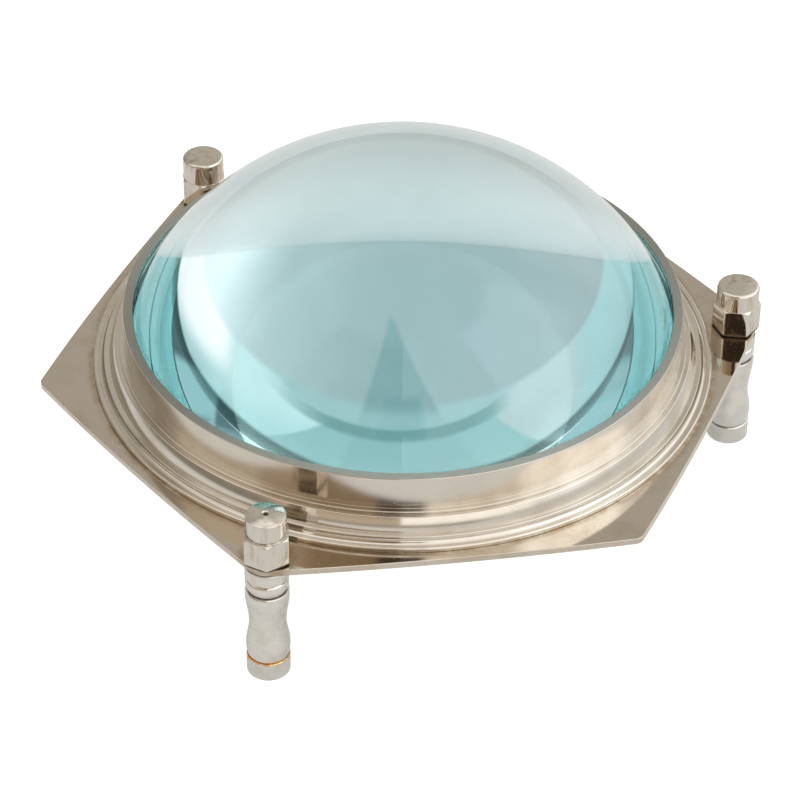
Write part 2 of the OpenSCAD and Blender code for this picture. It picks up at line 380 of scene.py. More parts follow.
def nut_material(n):
    """Handled nickel: brown stains that run down, small specks, a thin dark joint where the hexagon
    meets the round top, a painted shadow at the foot of the nut, and on nut 1 painted shade inside the
    drilled mark.
    """
    material, s = new_material(f"nut_nickel_{n}")
    surface, _ = principled(s)
    place = s.place()
    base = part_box(f"cap_nut_{n}")[0].z
    streak = s.noise(s.stretched(0.12), 620, 4, 0.65)
    cloud = s.noise(place, 240, 4, 0.6)
    speck = s.math("MULTIPLY", s.spots(place, 1500, 0.2), s.patches(place, 330, 0.5, 0.64, 0.7))
    streak = s.ramp(streak, ((0.44, 0.0), (0.72, 1.0)))
    stain = s.math("MULTIPLY", streak, s.ramp(cloud, ((0.36, 0.2), (0.62, 0.9))))
    # Painted shadow: a wide dark band round the foot of the hexagon, where it stands on the plate. The
    # thin band at the top of the hexagon is a dark joint.
    darkening = s.seams(((base, mm(0.46)), (base + HEX_H, mm(0.02))), place)
    darkening = s.math("MAXIMUM", darkening, s.math("MULTIPLY", speck, 0.7))
    # Painted shade: on nut 1 the inside of the drilled centre mark is painted dark.
    if n == 1:
        hole_shade = s.ramp(s.reach(leg_axis(n)), ((MARK_R - mm(0.06), 1.0), (MARK_R + mm(0.05), 0.0)))
        darkening = s.math("MAXIMUM", darkening, hole_shade)
    rough = s.math("ADD", s.math("MULTIPLY", s.math("MAXIMUM", stain, speck), 0.22), 0.055)
    metal(s, surface, s.mix(stain, NICKEL, NUT_STAIN), rough, darkening)
    turning = s.bump(s.noise(s.around(leg_axis(n)), 5200, 3, 0.7), NUT_TURNING_DEPTH)
    dent = s.bump(s.noise(place, 330, 2), NUT_DENT_DEPTH, turning)
    s.link(s.bump(s.math("MULTIPLY", speck, -1.0), NUT_PIT_DEPTH, dent), surface.inputs["Normal"])
    return material


# Distances from the foot's joint where the worn brass is at its fullest, and where it ends
WORN_REACH = (mm(0.1), mm(1.8))


def leg_material(n, polished=False):
    """Turned satin nickel with pits and dark joints. The polished band is smoother. On leg 1 the
    plating is worn through to brass in spots at the foot's joint."""
    material, s = new_material(f"{'band' if polished else 'leg'}_nickel_{n}")
    surface, _ = principled(s)
    centre = leg_axis(n)
    place = s.place()
    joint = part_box(f"foot_tip_{n}")[1].z + mm(0.08)
    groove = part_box(f"leg_{n}")[1].z + mm(0.2)
    collar_low, collar_high = (corner.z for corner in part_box(f"collar_{n}"))
    cloud = s.noise(place, 220, 4, 0.6)
    pit = s.math("MULTIPLY", s.spots(place, 1150, 0.2), s.patches(place, 260, 0.50, 0.62, 0.8))
    dull = s.math("MAXIMUM", pit, s.ramp(cloud, ((0.4, 0.0), (0.75, 0.5))))
    colour = s.mix(dull, LEG_NICKEL, LEG_DULL)
    bands = (
        (joint, mm(0.05)),
        (groove, mm(0.22)),
        (collar_low - mm(0.05), mm(0.06)),
        (collar_high, mm(0.12)),
    )
    darkening = s.math("MAXIMUM", s.seams(bands, place), s.math("MULTIPLY", pit, 0.45))
    if n == 1 and not polished:
        off = s.math("ABSOLUTE", s.math("SUBTRACT", s.height(), joint + mm(0.1)))
        near = s.ramp(off, ((WORN_REACH[0], 1.0), (WORN_REACH[1], 0.0)))
        patch = s.math("MULTIPLY", s.noise(place, 420, 2), 0.7)
        worn = s.math("ADD", s.math("ADD", s.noise(place, 900, 4, 0.7), patch), near)
        worn = s.ramp(worn, ((1.70, 0.0), (1.80, 0.95)))
        colour = s.mix(worn, colour, BRASS)
    rough = s.math("ADD", s.math("MULTIPLY", cloud, 0.12), 0.05 if polished else 0.17)
    metal(s, surface, colour, rough, darkening)
    depth = BAND_TURNING_DEPTH if polished else LEG_TURNING_DEPTH
    turning = s.bump(s.noise(s.around(centre), 4200, 3, 0.7), depth)
    s.link(s.bump(s.math("MULTIPLY", pit, -1.0), LEG_PIT_DEPTH, turning), surface.inputs["Normal"])
    return material


# Heights above the plate where the painted shade on the ground edge of the glass begins to darken
# and is darkest, and where it starts to grow paler again and ends
EDGE_SHADE_BEGINS = (mm(3.2), mm(6.0))
EDGE_SHADE_ENDS = (mm(9.0), mm(11.0))


def glass_material():
    """Clear glass whose blue-green colour deepens with the length of glass behind it. Its upright
    edge, which the ring hides, is finely ground and pale, and a band of painted shade darkens the glass
    partway up."""
    material, s = new_material("dome_glass_shader")
    surface, output = principled(s)
    surface.inputs["IOR"].default_value = GLASS_IOR
    place = s.place()
    at_side = s.ramp(s.reach(), ((lens_r - mm(0.03), 0.0), (lens_r - mm(0.01), 1.0)))
    # Painted shade: the base colour is darker in a band partway up the glass, copying darker bands of
    # light on its edge
    start, end = (plate_top + height for height in EDGE_SHADE_BEGINS)
    low = s.ramp(s.height(), ((start, 1.0), (end, 0.8)))
    start, end = (plate_top + height for height in EDGE_SHADE_ENDS)
    high = s.ramp(s.height(), ((start, 0.8), (end, 0.95)))
    cloud = s.math("ADD", s.math("MULTIPLY", s.noise(place, 160, 3), 0.1), 0.92)
    band = s.math("MULTIPLY", s.math("MAXIMUM", low, high), cloud)
    colour = s.mix(at_side, WHITE, GROUND_GLASS)
    s.link(s.mix(band, BLACK, colour), surface.inputs["Base Color"])
    s.link(s.math("SUBTRACT", 1.0, at_side), surface.inputs["Transmission Weight"])
    dust = s.math("MULTIPLY", s.spots(place, 420, 0.05), s.patches(place, 50, 0.5, 0.7, 1.0))
    rough = s.math("MULTIPLY", dust, 0.25)
    s.link(s.math("MAXIMUM", rough, s.math("MULTIPLY", at_side, 0.5)), surface.inputs["Roughness"])
    volume = s.node("ShaderNodeVolumeAbsorption")
    volume.inputs["Color"].default_value = GLASS_TINT
    volume.inputs["Density"].default_value = GLASS_DENSITY
    s.link(volume.outputs[0], output.inputs["Volume"])
    return material


def rubber_material():
    material, s = new_material("seat_rubber_shader")
    surface, _ = principled(s)
    grain = s.noise(s.place(), 900, 4, 0.7)
    s.link(s.mix(grain, RUBBER_DARK, RUBBER_PALE), surface.inputs["Base Color"])
    s.link(s.ramp(grain, ((0.3, 0.55), (0.7, 0.8))), surface.inputs["Roughness"])
    s.link(s.bump(grain, RUBBER_GRAIN_DEPTH), surface.inputs["Normal"])
    return material


def brass_material(n):
    """Threaded brass rod: the thread is a fine wave down the rod."""
    material, s = new_material(f"stud_brass_shader_{n}")
    surface, _ = principled(s)
    place = s.place()
    cloud = s.noise(place, 300, 4, 0.6)
    s.link(s.mix(cloud, BRASS, BRASS_DULL), surface.inputs["Base Color"])
    surface.inputs["Metallic"].default_value = 1.0
    s.link(s.ramp(cloud, ((0.3, 0.22), (0.7, 0.4))), surface.inputs["Roughness"])
    thread = s.math("SINE", s.math("MULTIPLY", s.height(), 2 * math.pi / THREAD_PITCH))
    s.link(s.bump(thread, THREAD_DEPTH), surface.inputs["Normal"])
    return material


# The floor's paint and its own glow, for each kind of ray that meets it
FLOOR_PAINT = (0.33, 0.33, 0.325, 1)
FLOOR_PAINT_SEEN = (0.26, 0.26, 0.26, 1)
FLOOR_GLOW = (0.34, 0.335, 0.33, 1)
FLOOR_GLOW_THROUGH = (0.52, 0.51, 0.505, 1)
FLOOR_GLOW_SEEN = (0.93, 0.93, 0.93, 1)


def floor_material():
    """Pale floor, partly lit by its own glow so that its shadows stay soft. Seen directly it is
    near white, and it is dimmer through the glass and in what the metal reflects."""
    material, s = new_material("floor_shader")
    rays = s.node("ShaderNodeLightPath").outputs
    seen = rays["Is Camera Ray"]
    through = s.math("GREATER_THAN", rays["Transmission Depth"], 0.5)
    matte = s.node("ShaderNodeBsdfDiffuse")
    s.link(s.mix(seen, FLOOR_PAINT, FLOOR_PAINT_SEEN), matte.inputs["Color"])
    glow = s.node("ShaderNodeEmission")
    unseen = s.mix(through, FLOOR_GLOW, FLOOR_GLOW_THROUGH)
    s.link(s.mix(seen, unseen, FLOOR_GLOW_SEEN), glow.inputs["Color"])
    both = s.node("ShaderNodeAddShader")
    output = s.node("ShaderNodeOutputMaterial")
    s.link(matte.outputs[0], both.inputs[0])
    s.link(glow.outputs[0], both.inputs[1])
    s.link(both.outputs[0], output.inputs["Surface"])
    return material


# ---------------------------------------------------------------- mesh helpers


def arc(centre, radius, start, end, steps):
    """Points on an arc from angle start to end, in degrees."""
    points = []
    for i in range(steps + 1):
        angle = math.radians(start + (end - start) * i / steps)
        points.append((centre[0] + radius * math.cos(angle), centre[1] + radius * math.sin(angle)))
    return points


def circle(centre, radius, steps):
    return arc(centre, radius, 0, 360 - 360 / steps, steps - 1)


def straight(start, end, steps):
    """Evenly spaced points on a line, without its start."""
    return [tuple(a + (b - a) * i / steps for a, b in zip(start, end)) for i in range(1, steps + 1)]


def rounded(corners, steps=5):
    """A closed outline through (x, y, radius) corners, each rounded by its radius."""
    outline = []
    count = len(corners)
    for i, (x, y, radius) in enumerate(corners):
        if radius <= 0:
            outline.append((x, y))
            continue
        here = Vector((x, y))
        before = (Vector(corners[i - 1][:2]) - here).normalized()
        after = (Vector(corners[(i + 1) % count][:2]) - here).normalized()
        half = before.angle(after) / 2
        reach = radius / math.tan(half)
        middle = here + (before + after).normalized() * (radius / math.sin(half))
        start = here + before * reach - middle
        end = here + after * reach - middle
        turn = math.atan2(start.x * end.y - start.y * end.x, start.dot(end))
        base = math.atan2(start.y, start.x)
        for k in range(steps + 1):
            angle = base + turn * k / steps
            outline.append((middle.x + radius * math.cos(angle), middle.y + radius * math.sin(angle)))
    return outline


def finish_mesh(name, mesh, sharp=50.0):
    """Makes a piece of mesh: smooth, with its edges over sharp degrees kept, and evenly shaded."""
    mesh.polygons.foreach_set("use_smooth", [True] * len(mesh.polygons))
    mesh.set_sharp_from_angle(angle=math.radians(sharp))
    piece = bpy.data.objects.new(name, mesh)
    bpy.context.collection.objects.link(piece)
    even = piece.modifiers.new("even", "WEIGHTED_NORMAL")
    even.keep_sharp = True
    even.weight = 100
    return piece


def lathe(name, outline, segments, centre=(0.0, 0.0), radius_at=None, sharp=50.0):
    """Turns an outline of (radius, height) points, in metres, about a vertical axis.

    radius_at(angle, radius, height), where given, changes the radius round the turn."""
    bm = bmesh.new()
    rings = []
    for radius, height in outline:
        if radius < 1e-9:
            rings.append([bm.verts.new((centre[0], centre[1], height))])
            continue
        ring = []
        for k in range(segments):
            angle = 2 * math.pi * k / segments
            r = radius if radius_at is None else radius_at(angle, radius, height)
            x, y = centre[0] + r * math.cos(angle), centre[1] + r * math.sin(angle)
            ring.append(bm.verts.new((x, y, height)))
        rings.append(ring)
    for a, b in zip(rings, rings[1:] + rings[:1]):
        if len(a) == 1 and len(b) == 1:
            continue
        for k in range(segments):
            following = (k + 1) % segments
            if len(a) == 1:
                bm.faces.new((a[0], b[following], b[k]))
            elif len(b) == 1:
                bm.faces.new((a[k], a[following], b[0]))
            else:
                bm.faces.new((a[k], a[following], b[following], b[k]))
    bmesh.ops.recalc_face_normals(bm, faces=bm.faces)
    mesh = bpy.data.meshes.new(name)
    bm.to_mesh(mesh)
    bm.free()
    return finish_mesh(name, mesh, sharp)


def dress(piece, material, body, slot, *nodes):
    """Gives a piece its material and body, and hides the CAD nodes it stands for. Its slot is not used.
    """
    piece.data.materials.clear()
    piece.data.materials.append(material)
    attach(piece, body)
    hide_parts(*nodes)


# ---------------------------------------------------------------- the plate

PLATE_CORNER = mm(86.6)
PLATE_BOW = mm(1.13)
LEG_CORNER_R = mm(5)
FREE_CORNER_R = mm(2.6)
OPENING_R = mm(58)
STUD_CLEAR_R = mm(2.6)
PLATE_EDGE_R = mm(0.18)
CORNER_STEPS = 12
SIDE_STEPS = 16
# The part of each bowed side that has points of its own, clear of the rounded corners
SIDE_SPAN = 0.88


def plate_outline():
    """Six bowed sides and six rounded corners, anticlockwise."""
    half_side = PLATE_CORNER / 2
    side_r = (half_side**2 + PLATE_BOW**2) / (2 * PLATE_BOW)
    shift = side_r - (PLATE_CORNER * math.cos(math.radians(30)) + PLATE_BOW)
    lean = math.degrees(math.asin(half_side / side_r))
    points = []
    for k in range(6):
        corner_r = LEG_CORNER_R if k % 2 == 0 else FREE_CORNER_R
        turn = 30 + 60 * k
        reach = PLATE_CORNER - corner_r / math.cos(math.radians(30 - lean))
        middle = (reach * math.cos(math.radians(turn)), reach * math.sin(math.radians(turn)))
        points += arc(middle, corner_r, turn - 30 + lean, turn + 30 - lean, CORNER_STEPS)
        facing = turn + 30
        centre = (-shift * math.cos(math.radians(facing)), -shift * math.sin(math.radians(facing)))
        half_span = lean * SIDE_SPAN
        points += arc(centre, side_r, facing - half_span, facing + half_span, SIDE_STEPS)
    return points


def make_plate(material):
    """The plate, its opening and its stud holes, as one bevelled curve turned into a mesh."""
    curve = bpy.data.curves.new("plate", "CURVE")
    curve.dimensions = "2D"
    curve.fill_mode = "BOTH"
    outlines = [plate_outline(), circle((0, 0), OPENING_R, 180)]
    outlines += [circle(leg_axis(n), STUD_CLEAR_R, 48) for n in LEGS]
    for outline in outlines:
        spline = curve.splines.new("POLY")
        spline.points.add(len(outline) - 1)
        for point, (x, y) in zip(spline.points, outline):
            point.co = (x, y, 0, 1)
        spline.use_cyclic_u = True
    curve.extrude = (plate_top - plate_bottom) / 2 - PLATE_EDGE_R
    curve.bevel_depth = PLATE_EDGE_R
    curve.bevel_resolution = 3
    curve.offset = -PLATE_EDGE_R
    drawn = bpy.data.objects.new("plate_curve", curve)
    bpy.context.collection.objects.link(drawn)
    mesh = bpy.data.meshes.new_from_object(drawn.evaluated_get(bpy.context.evaluated_depsgraph_get()))
    bpy.data.objects.remove(drawn)
    bpy.data.curves.remove(curve)
    mesh.transform(Matrix.Translation((0, 0, (plate_top + plate_bottom) / 2)))
    bm = bmesh.new()
    bm.from_mesh(mesh)
    bmesh.ops.remove_doubles(bm, verts=bm.verts, dist=1e-7)
    bmesh.ops.recalc_face_normals(bm, faces=bm.faces)
    bm.to_mesh(mesh)
    bm.free()
    dress(finish_mesh("hex_plate", mesh), material, "frame", "polished_nickel", "base_plate")


# ---------------------------------------------------------------- the rings

RING_STEPS = 320
BEAD_H = mm(1.1)
BEAD_W = mm(1.3)
BEAD_FOOT_EDGE = mm(0.12)
BEAD_OUTER_EDGE = mm(0.4)
BEAD_INNER_EDGE = mm(0.2)
GROOVE_Z = plate_top + mm(0.8)
GROOVE_W = mm(0.16)
STEP_Z = plate_top + mm(2.45)
STEP_EDGE = mm(0.2)
COVE_W = mm(2.5)
LEDGE_W = mm(1.35)
BAND_FOOT = mm(0.06)
BAND_HEAD = mm(2.4)
BAND_TOP_EDGE = mm(0.22)
BAND_TOP_BREAK = (mm(0.06), mm(0.1))
# How quickly the steep band turns upright: 1 is a straight slope
BAND_CURVE = 1.6
FLANGE_T = mm(0.65)


def make_moulding(material):
    """Bead, groove, cove, ledge and steep band of the base ring."""
    base = plate_top
    bead_in = moulding_r - BEAD_W
    cove_foot = bead_in - GROOVE_W
    cove_r = moulding_r - COVE_W
    band_low, band_high = cove_r - LEDGE_W, bezel_r + BAND_HEAD
    outer, inner = BEAD_OUTER_EDGE, BEAD_INNER_EDGE
    outline = [(bezel_r, base), (moulding_r - BEAD_FOOT_EDGE, base), (moulding_r, base + BEAD_FOOT_EDGE)]
    outline += arc((moulding_r - outer, base + BEAD_H - outer), outer, 0, 90, 8)
    outline += arc((bead_in + inner, base + BEAD_H - inner), inner, 90, 180, 5)
    outline += [(bead_in, GROOVE_Z), (cove_foot, GROOVE_Z)]
    steps = 14
    for i in range(1, steps + 1):
        turn = math.radians(90 * i / steps)
        reach = cove_foot + (cove_r - cove_foot) * math.sin(turn)
        outline.append((reach, GROOVE_Z + (STEP_Z - GROOVE_Z - STEP_EDGE) * (1 - math.cos(turn))))
    outline += arc((cove_r - STEP_EDGE, STEP_Z - STEP_EDGE), STEP_EDGE, 0, 90, 4)[1:]
    foot = STEP_Z + BAND_FOOT
    top = moulding_top - BAND_TOP_EDGE
    outline += [(band_low + BAND_FOOT, STEP_Z), (band_low, foot)]
    for i in range(1, steps + 1):
        u = i / steps
        outline.append((band_low + (band_high - band_low) * u**BAND_CURVE, foot + (top - foot) * u))
    outline.append((band_high - BAND_TOP_BREAK[0], moulding_top - BAND_TOP_BREAK[1]))
    outline += [(band_high - BAND_TOP_EDGE, moulding_top), (bezel_r, moulding_top)]
    piece = lathe("base_moulding", outline, RING_STEPS)
    dress(piece, material, "frame", "polished_nickel", "moulding_ring")


def make_bezel(material):
    """The upper ring: its flat lip, its wall, and the flange over the base ring. Each corner has
    its radius, its height and its rounding."""
    flange_low = moulding_top
    flange_high = flange_low + FLANGE_T
    corners = [
        (bore_r, plate_top, mm(0.15)),
        (bezel_r, plate_top, 0),
        (bezel_r, flange_low, 0),
        (flange_r, flange_low, mm(0.12)),
        (flange_r, flange_high, mm(0.2)),
        (bezel_r, flange_high, mm(0.08)),
        (bezel_r, lip_z, mm(0.28)),
        (bore_r, lip_z, mm(0.22)),
    ]
    piece = lathe("upper_ring", rounded(corners), RING_STEPS)
    dress(piece, material, "frame", "polished_nickel", "bezel_ring")


SEAT_W = mm(4.6)
SEAT_EDGE = mm(0.2)
SEAT_SLACK = mm(0.02)
SEAT_STEPS = 192


def make_seat(material):
    outer = SEAT_HIGH.x
    inner = outer - SEAT_W
    top = SEAT_HIGH.z - SEAT_SLACK
    corners = [
        (inner, SEAT_LOW.z, SEAT_EDGE),
        (outer, SEAT_LOW.z, SEAT_EDGE),
        (outer, top, SEAT_EDGE),
        (inner, top, SEAT_EDGE),
    ]
    piece = lathe("seat_gasket", rounded(corners), SEAT_STEPS)
    dress(piece, material, "frame", "seat_rubber", "lens_seat_ring")


# ---------------------------------------------------------------- the glass

DOME_R = mm(72.6)
DOME_STEPS = 110
LENS_BEVEL = mm(0.6)
LENS_EDGE_ROUND = mm(0.25)
LENS_STEPS = 384
# Radii of the rings of points on its flat underside
LENS_FLAT_RINGS = (mm(20), mm(40))


def make_lens(material):
    """A flat underside, a bevel, an upright edge, and the dome above a small rounded corner."""
    centre_z = lens_top - DOME_R
    rim_angle = math.degrees(math.acos((lens_r - LENS_EDGE_ROUND) / (DOME_R - LENS_EDGE_ROUND)))
    round_z = centre_z + (DOME_R - LENS_EDGE_ROUND) * math.sin(math.radians(rim_angle))
    outline = [(0, lens_bottom)] + [(radius, lens_bottom) for radius in LENS_FLAT_RINGS]
    outline += [(lens_r - LENS_BEVEL, lens_bottom), (lens_r, lens_bottom + LENS_BEVEL)]
    outline += arc((lens_r - LENS_EDGE_ROUND, round_z), LENS_EDGE_ROUND, 0, rim_angle, 4)
    outline += arc((0, centre_z), DOME_R, rim_angle, 90, DOME_STEPS)[1:-1]
    outline.append((0, lens_top))
    piece = lathe("glass_dome", outline, LENS_STEPS, sharp=30)
    dress(piece, material, "lens", "dome_glass", "dome_lens")


# ---------------------------------------------------------------- the legs

LEG_STEPS = 96
BAR_R = mm(5)
STUD_HOLE_R = mm(2.55)
STUD_END = mm(1.3)
NECK_R = BAR_R - mm(0.55)
TURNED_EDGE = mm(0.35)
BAND_R = BAR_R - mm(0.05)
BAND_EDGE = mm(1.1)
BAND_H = mm(3.2)
BAND_DROP = mm(0.1)


def make_collar(n, material):
    low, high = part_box(f"collar_{n}")
    corners = [
        (STUD_HOLE_R, low.z, 0),
        (BAR_R, low.z, TURNED_EDGE),
        (BAR_R, high.z, TURNED_EDGE),
        (STUD_HOLE_R, high.z, 0),
    ]
    piece = lathe(f"turned_collar_{n}", rounded(corners, 7), LEG_STEPS, leg_axis(n))
    dress(piece, material, "frame", "satin_nickel", f"collar_{n}")


def make_bead(n, material):
    """Polished band with a full round edge, on the neck that shows in the grooves."""
    low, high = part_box(f"bead_ring_{n}")
    top = high.z - BAND_DROP
    bottom = top - BAND_H
    turn = math.degrees(math.acos(1 - (BAND_R - NECK_R) / BAND_EDGE))
    outline = [(STUD_HOLE_R, low.z), (NECK_R, low.z)]
    outline += arc((BAND_R - BAND_EDGE, bottom + BAND_EDGE), BAND_EDGE, -turn, 0, 10)
    outline += arc((BAND_R - BAND_EDGE, top - BAND_EDGE), BAND_EDGE, 0, turn, 10)
    outline += [(NECK_R, high.z), (STUD_HOLE_R, high.z)]
    piece = lathe(f"polished_band_{n}", outline, LEG_STEPS, leg_axis(n), sharp=35)
    dress(piece, material, "frame", "polished_nickel", f"bead_ring_{n}")


# Turned profile of the legs: fractions of the height, from the top, and radii
FLARE_U, FLARE_R = 0.04, mm(5.05)
WAIST_U, WAIST_R = 0.507, mm(4.25)
SWELL_U, SWELL_R = 0.845, mm(5.04)
TOP_ROUND, FOOT_ROUND = mm(0.3), mm(0.35)


def leg_radius(u):
    """Radius of the leg at a fraction u of its height, from the top."""
    if u < FLARE_U:
        return FLARE_R - TOP_ROUND * (1 - u / FLARE_U) ** 2
    if u < WAIST_U:
        turn = math.pi / 2 * (u - FLARE_U) / (WAIST_U - FLARE_U)
        return WAIST_R + (FLARE_R - WAIST_R) * math.cos(turn) ** 2
    if u < SWELL_U:
        turn = math.pi / 2 * (u - WAIST_U) / (SWELL_U - WAIST_U)
        return WAIST_R + (SWELL_R - WAIST_R) * math.sin(turn) ** 2
    return SWELL_R - FOOT_ROUND * ((u - SWELL_U) / (1 - SWELL_U)) ** 2


def make_leg(n, material):
    low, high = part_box(f"leg_{n}")
    steps = 90
    outline = [(STUD_HOLE_R, high.z)]
    outline += [(leg_radius(i / steps), high.z - (high.z - low.z) * i / steps) for i in range(steps + 1)]
    outline.append((STUD_HOLE_R, low.z))
    piece = lathe(f"turned_leg_{n}", outline, LEG_STEPS, leg_axis(n))
    dress(piece, material, "frame", "satin_nickel", f"leg_{n}")


def make_tip(n, material):
    low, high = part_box(f"foot_tip_{n}")
    corners = [
        (0, low.z, 0),
        (BAR_R, low.z, TURNED_EDGE),
        (BAR_R, high.z, TURNED_EDGE),
        (STUD_HOLE_R, high.z, 0),
        (STUD_HOLE_R, low.z + STUD_END, 0),
        (0, low.z + STUD_END, 0),
    ]
    piece = lathe(f"screw_foot_{n}", rounded(corners, 7), LEG_STEPS, leg_axis(n))
    dress(piece, material, f"tip_{n}", "satin_nickel", f"foot_tip_{n}")


# ---------------------------------------------------------------- the cap nuts

HEX_FLAT = mm(5)
HEX_H = mm(7.2)
HEX_BEVEL = mm(0.45)
HEX_FOOT_H = mm(0.27)
HEX_SLOPE_W = mm(0.63)
HEX_EDGE_R = mm(0.16)
# The hexagon ends this far under the round part, so that one ring of faces joins the two
HEX_END_GAP = mm(0.002)
CAP_STEPS = 180
CAP_FILLET = mm(0.12)
CONE_EDGE_R = mm(0.12)
NUT_BORE = mm(10.35)
CAP_R = {1: mm(4.6), 2: mm(5.1), 3: mm(5.1)}
CAP_EDGE_R = mm(0.8)
CAP_DOME_H = mm(0.2)
CONE_H = mm(0.6)
MARK_R = mm(0.55)
MARK_DEPTH = mm(1.6)
SINK_R = mm(0.85)
SINK_H = mm(0.2)
# Direction of one corner of each hexagon, in degrees
HEX_CORNER = {1: 270 + 24, 2: 30 + 45, 3: 150 + 22}


def soft_min(a, b, reach):
    """The smaller of a and b, blended where they are closer than reach."""
    h = max(0.0, reach - abs(a - b)) / reach
    return min(a, b) - h * h * reach / 4


def top_outline(cap_r, top):
    """A nearly flat top with a rounded edge, from the edge to the middle."""
    rim = top - CAP_DOME_H
    points = arc((cap_r - CAP_EDGE_R, rim - CAP_EDGE_R), CAP_EDGE_R, 0, 85, 14)
    inner = cap_r - CAP_EDGE_R
    for i in range(1, 12):
        u = 1 - i / 12
        points.append((inner * u, top - CAP_DOME_H * u * u))
    return points


def marked_outline(cap_r, top):
    """A low cone with a drilled centre mark, from the edge to the middle."""
    rim = top - CONE_H
    soft = CONE_EDGE_R
    slope = math.degrees(math.atan2(CONE_H, cap_r - MARK_R))
    sink_top = top - CONE_H * (SINK_R - MARK_R) / (cap_r - MARK_R)
    points = arc((cap_r - soft, rim - soft), soft, 0, 90 - slope, 5)
    points += arc((SINK_R + soft, sink_top - soft), soft, 90 - slope, 140, 5)
    points += [(MARK_R, sink_top - SINK_H), (MARK_R, top - MARK_DEPTH)]
    return points


def make_cap(n, material):
    """Hexagon with a bevelled foot and sloped shoulder, and a round top, over a blind bore."""
    low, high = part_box(f"cap_nut_{n}")
    base, top = low.z, high.z
    cap_r = CAP_R[n]
    hex_top = base + HEX_H
    corner_r = HEX_FLAT / math.cos(math.radians(30))

    def hex_radius(angle, radius, height):
        if radius <= STUD_HOLE_R or height > hex_top - HEX_END_GAP / 2:
            return radius
        away = (math.degrees(angle) - HEX_CORNER[n]) % 60 - 30
        return soft_min(HEX_FLAT / math.cos(math.radians(away)), radius, HEX_EDGE_R)

    outline = [(STUD_HOLE_R, base + NUT_BORE), (STUD_HOLE_R, base), (corner_r - HEX_BEVEL, base)]
    foot = base + HEX_FOOT_H
    shoulder = hex_top - HEX_BEVEL
    hex_end = hex_top - HEX_END_GAP
    outline += straight((corner_r - HEX_BEVEL, base), (corner_r, foot), 4)
    outline += straight((corner_r, foot), (corner_r, shoulder), 16)
    outline += straight((corner_r, shoulder), (corner_r - HEX_SLOPE_W, hex_end), 6)
    outline += arc((cap_r + CAP_FILLET, hex_top + CAP_FILLET), CAP_FILLET, 270, 180, 4)
    outline += marked_outline(cap_r, top) if n == 1 else top_outline(cap_r, top)
    outline += [(0, top - MARK_DEPTH if n == 1 else top), (0, base + NUT_BORE)]
    piece = lathe(f"cap_{n}", outline, CAP_STEPS, leg_axis(n), hex_radius, sharp=60)
    dress(piece, material, f"cap_{n}", "polished_nickel", f"cap_nut_{n}")


def make_stud(n, material):
    """The hidden rod keeps its CAD shape."""
    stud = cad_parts[f"stud_{n}"]
    stud.data.materials.clear()
    stud.data.materials.append(material)


# ---------------------------------------------------------------- studio

FLOOR_R = 3.0


def make_floor():
    bm = bmesh.new()
    bmesh.ops.create_circle(bm, cap_ends=True, segments=96, radius=FLOOR_R)
    mesh = bpy.data.meshes.new("floor")
    bm.to_mesh(mesh)
    bm.free()
    floor = bpy.data.objects.new("floor", mesh)
    bpy.context.collection.objects.link(floor)
    mesh.materials.append(floor_material())


# Panels round the studio, each painted over the ones before it: azimuth range, elevation range,
# softness across and upward, colour. Angles are in degrees. The first list is what the metal and
# the outside of the glass see, and the second is what shows through the glass
ROOM = (0.58, 0.55, 0.50, 1)
ROOM_PANELS = (
    ((-95, -22), (20, 60), 16, 14, (0.50, 0.46, 0.40)),
    ((20, 131), (6, 60), 30, 8, (1.18, 1.17, 1.15)),
    ((46, 59), (16, 46), 16, 10, (1.62, 1.62, 1.62)),
    ((-180, 180), (55, 95), 1, 12, (1.18, 1.17, 1.15)),
    ((66, 131), (14, 62), 12, 10, (1.50, 1.53, 1.58)),
    ((76, 131), (30, 62), 9, 8, (2.25, 2.33, 2.45)),
    ((-121, -75), (8, 60), 12, 8, (0.92, 0.84, 0.73)),
    ((-180, -121), (8, 66), 10, 10, (0.66, 0.54, 0.41)),
    ((-180, -140), (22, 50), 10, 8, (0.46, 0.35, 0.24)),
    ((131, 180), (8, 66), 10, 10, (1.44, 1.39, 1.33)),
    ((-180, -170), (32, 47), 6, 5, (0.05, 0.035, 0.025)),
    ((170, 180), (32, 47), 6, 5, (0.05, 0.035, 0.025)),
    ((-180, 180), (-90, 6.5), 1, 3, (0.38, 0.33, 0.27)),
    ((24, 150), (-90, 7), 20, 4, (0.80, 0.78, 0.75)),
    ((-135, -38), (-90, 17), 14, 5, (0.28, 0.25, 0.21)),
)
BEHIND = (0.565, 0.575, 0.575, 1)
BEHIND_PANELS = (
    ((16, 180), (-90, 95), 28, 1, (0.79, 0.77, 0.76)),
    ((33.5, 180), (-90, 95), 22, 1, (1.60, 1.42, 1.42)),
)
# A big round screen straight ahead, and what shows under its edge: in the middle, past a slanting
# edge to the right (low down, higher up, and further right), and past another to the left, further
# left. Each edge has its azimuth at a level, and how far it leans for each degree down
SCREEN = ((0, 65), 42)
UNDER = (0.50, 0.68, 0.67, 1)
RIGHT_EDGE = (11, 19, 1.18)
RIGHT_LOW = (0.77, 0.92, 0.91, 1)
RIGHT_SIDE = (1.00, 1.06, 1.04, 1)
FAR_RIGHT = (1.85, 1.46, 1.44, 1)
LEFT_EDGE = (-15, 19, -0.77)
LEFT_SIDE = (0.82, 0.78, 0.77, 1)
FAR_LEFT = (0.62, 0.81, 0.805, 1)
# A thin ring that hangs in front of the screen: its middle, its two radii, its shade and how
# strong it is, and the paler room inside it
RING_MIDDLE = (1, 42.7)
RING_EDGES = (24.3, 27)
RING_SHADE = (0.24, 0.40, 0.39, 1)
RING_STRENGTH = 0.9
INSIDE_RING = (0.60, 0.71, 0.70, 1)
